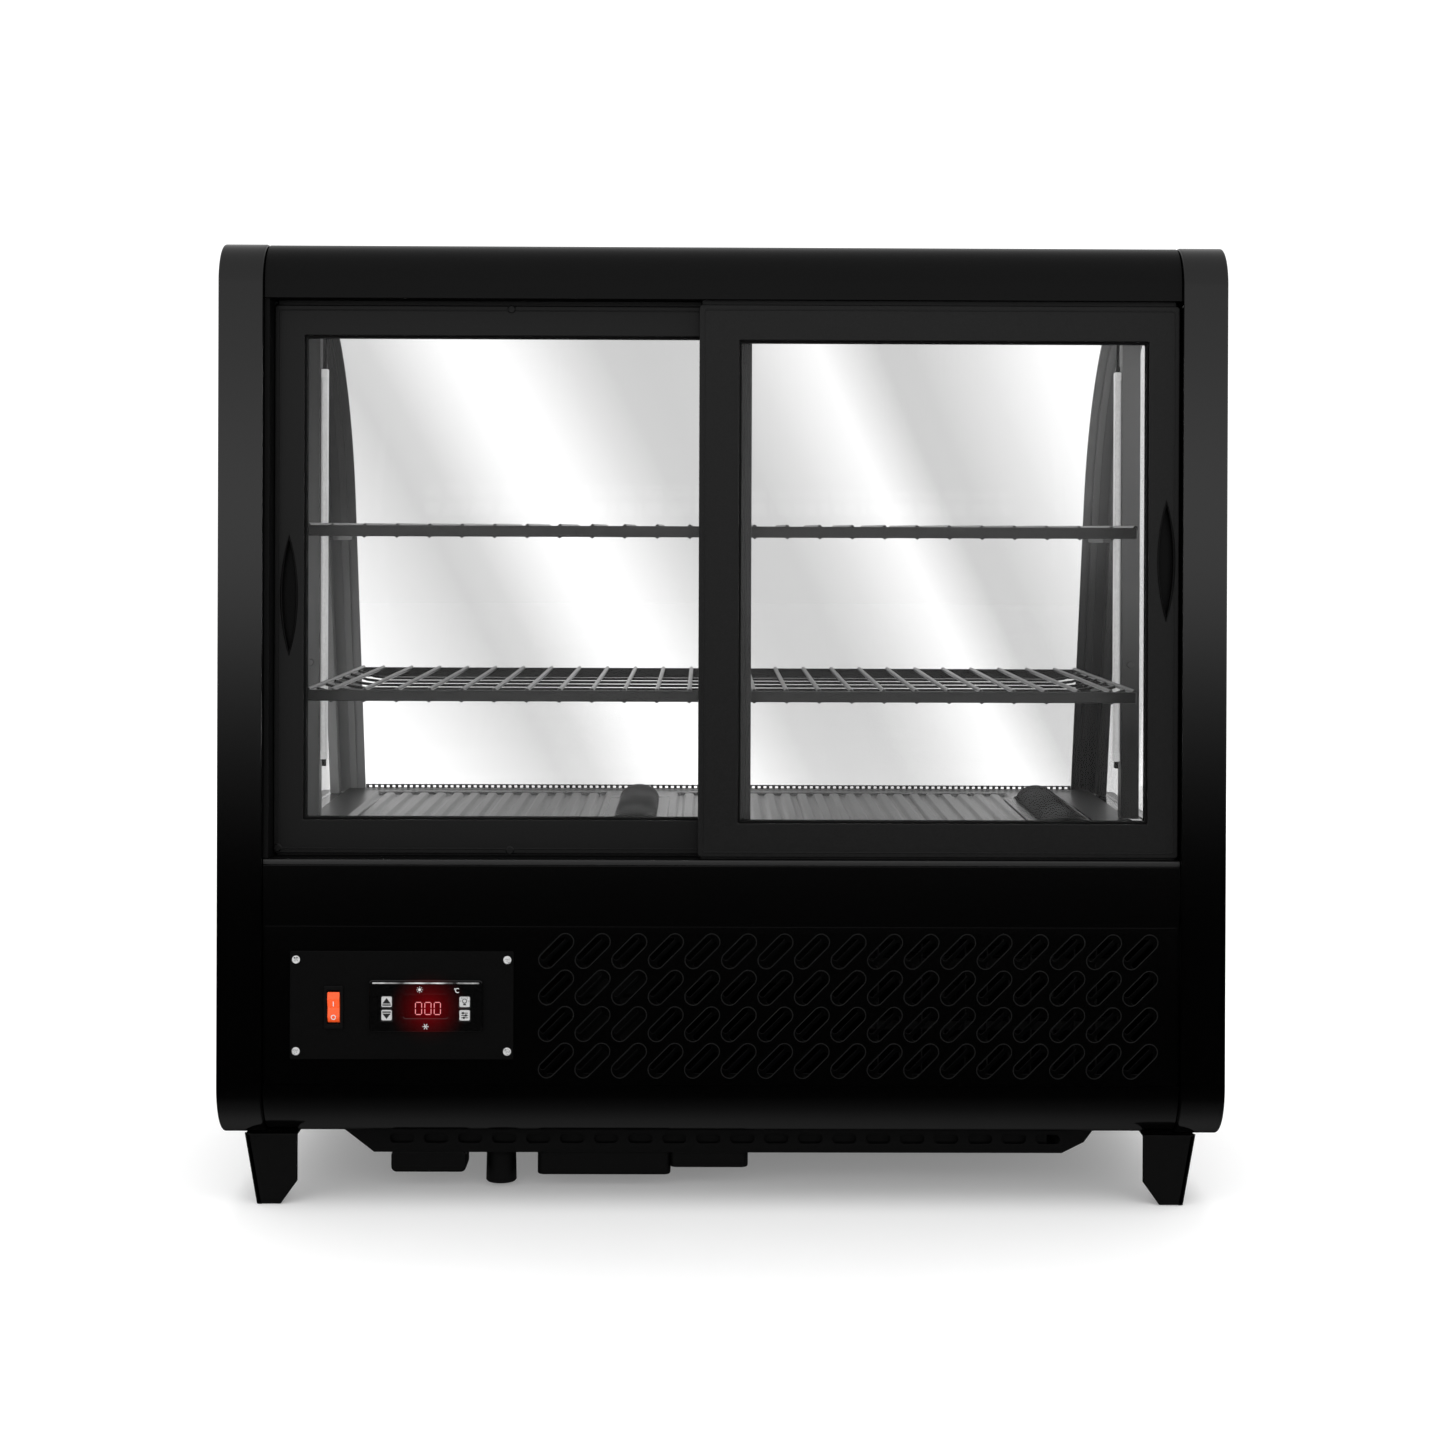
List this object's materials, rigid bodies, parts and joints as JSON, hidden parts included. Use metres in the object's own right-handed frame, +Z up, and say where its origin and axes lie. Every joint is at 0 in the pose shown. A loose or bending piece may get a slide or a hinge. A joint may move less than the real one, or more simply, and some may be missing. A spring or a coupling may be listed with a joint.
{
  "type": "bakery display case",
  "caption": "Countertop refrigerated display case with a curved glass front, wire shelves and two sliding service doors.",
  "frame": {"origin": "centre of the case's footprint, on the surface its legs stand on", "axes": "+Z up, -Y towards the service side with the sliding doors, +Y towards the customer, +X to the right seen from the service side"},
  "size_m": [0.7, 0.45, 0.675],
  "materials": {
    "case_paint": "gloss black powder coat",
    "case_plastic": "gloss black moulding",
    "door_plastic": "fine textured satin black",
    "dark_plastic": "satin black",
    "pane": "clear tempered",
    "post_paint": "satin black paint",
    "wire_coat": "black coated wire",
    "deck_steel": "satin stainless",
    "steel": "zinc plated",
    "screw_steel": "bright",
    "fins": "mill finish",
    "casting": "black enamel",
    "screen": "dark red tinted window",
    "key_cap": "light grey print",
    "switch_orange": "translucent orange",
    "diffuser": "milky translucent",
    "gland_rubber": "matt"
  },
  "bodies": {
    "cabinet": {"left_side_frame": "case_plastic", "left_side_glass": "pane", "left_front_pillar": "post_paint", "left_shelf_post": "post_paint", "left_light_strip": "diffuser", "left_upper_bracket": "post_paint", "left_lower_bracket": "post_paint", "right_side_frame": "case_plastic", "right_side_glass": "pane", "right_front_pillar": "post_paint", "right_shelf_post": "post_paint", "right_light_strip": "diffuser", "right_upper_bracket": "post_paint", "right_lower_bracket": "post_paint", "top_panel": "case_paint", "ceiling_panel": "case_paint", "rear_lower_panel": "case_paint", "access_panel": "case_paint", "front_base_panel": "case_paint", "base_pan": "case_paint", "front_glass": "pane", "upper_track": "dark_plastic", "lower_track": "dark_plastic", "control_plate": "dark_plastic", "plate_screw_1": "screw_steel", "plate_screw_2": "screw_steel", "plate_screw_3": "screw_steel", "plate_screw_4": "screw_steel", "switch_bezel": "dark_plastic", "controller_housing": "case_plastic", "display_window": "screen", "deck_plate": "deck_steel", "centre_louvre": "dark_plastic", "right_louvre": "dark_plastic", "upper_shelf": "wire_coat", "lower_shelf": "wire_coat", "evaporator_tub": "dark_plastic", "evaporator_coil": "fins", "evaporator_fan_plate": "steel", "condenser_coil": "fins", "condenser_fan_plate": "steel", "compressor": "casting", "condensate_tray": "dark_plastic", "drain_spout": "dark_plastic", "cable_gland": "gland_rubber", "left_rear_leg": "dark_plastic", "right_rear_leg": "dark_plastic", "left_front_leg": "dark_plastic", "right_front_leg": "dark_plastic"},
    "left_door": {"left_door_frame": "door_plastic", "left_door_glass": "pane"},
    "right_door": {"right_door_frame": "door_plastic", "right_door_glass": "pane"},
    "rocker_switch": {"rocker": "switch_orange"},
    "up_key": {"key_up": "key_cap"},
    "down_key": {"key_down": "key_cap"},
    "light_key": {"key_light": "key_cap"},
    "set_key": {"key_set": "key_cap"},
    "condenser_fan": {"condenser_fan_rotor": "dark_plastic"},
    "evaporator_fan": {"evaporator_fan_rotor": "dark_plastic"}
  },
  "joints": [
    {"name": "left_door_slide", "type": "slide", "parent": "cabinet", "child": "left_door", "axis": [1, 0, 0], "range_m": [0, 0.295]},
    {"name": "right_door_slide", "type": "slide", "parent": "cabinet", "child": "right_door", "axis": [-1, 0, 0], "range_m": [0, 0.298]},
    {"name": "rocker_tilt", "type": "hinge", "parent": "cabinet", "child": "rocker_switch", "pos_m": [-0.269, -0.2199, 0.1437], "axis": [-1, 0, 0], "range_deg": [0, 12]},
    {"name": "up_key_press", "type": "slide", "parent": "cabinet", "child": "up_key", "axis": [0, 1, 0], "range_m": [0, 0.0008], "stiffness_N_per_m": 400, "springref_m": -0.0005},
    {"name": "down_key_press", "type": "slide", "parent": "cabinet", "child": "down_key", "axis": [0, 1, 0], "range_m": [0, 0.0008], "stiffness_N_per_m": 400, "springref_m": -0.0005},
    {"name": "light_key_press", "type": "slide", "parent": "cabinet", "child": "light_key", "axis": [0, 1, 0], "range_m": [0, 0.0008], "stiffness_N_per_m": 400, "springref_m": -0.0005},
    {"name": "set_key_press", "type": "slide", "parent": "cabinet", "child": "set_key", "axis": [0, 1, 0], "range_m": [0, 0.0008], "stiffness_N_per_m": 400, "springref_m": -0.0005},
    {"name": "condenser_fan_spin", "type": "hinge", "parent": "cabinet", "child": "condenser_fan", "pos_m": [0.195, -0.144, 0.1165], "axis": [0, 1, 0], "continuous": true},
    {"name": "evaporator_fan_spin", "type": "hinge", "parent": "cabinet", "child": "evaporator_fan", "pos_m": [0.15, 0.067, 0.1743], "axis": [0, 1, 0], "continuous": true}
  ]
}
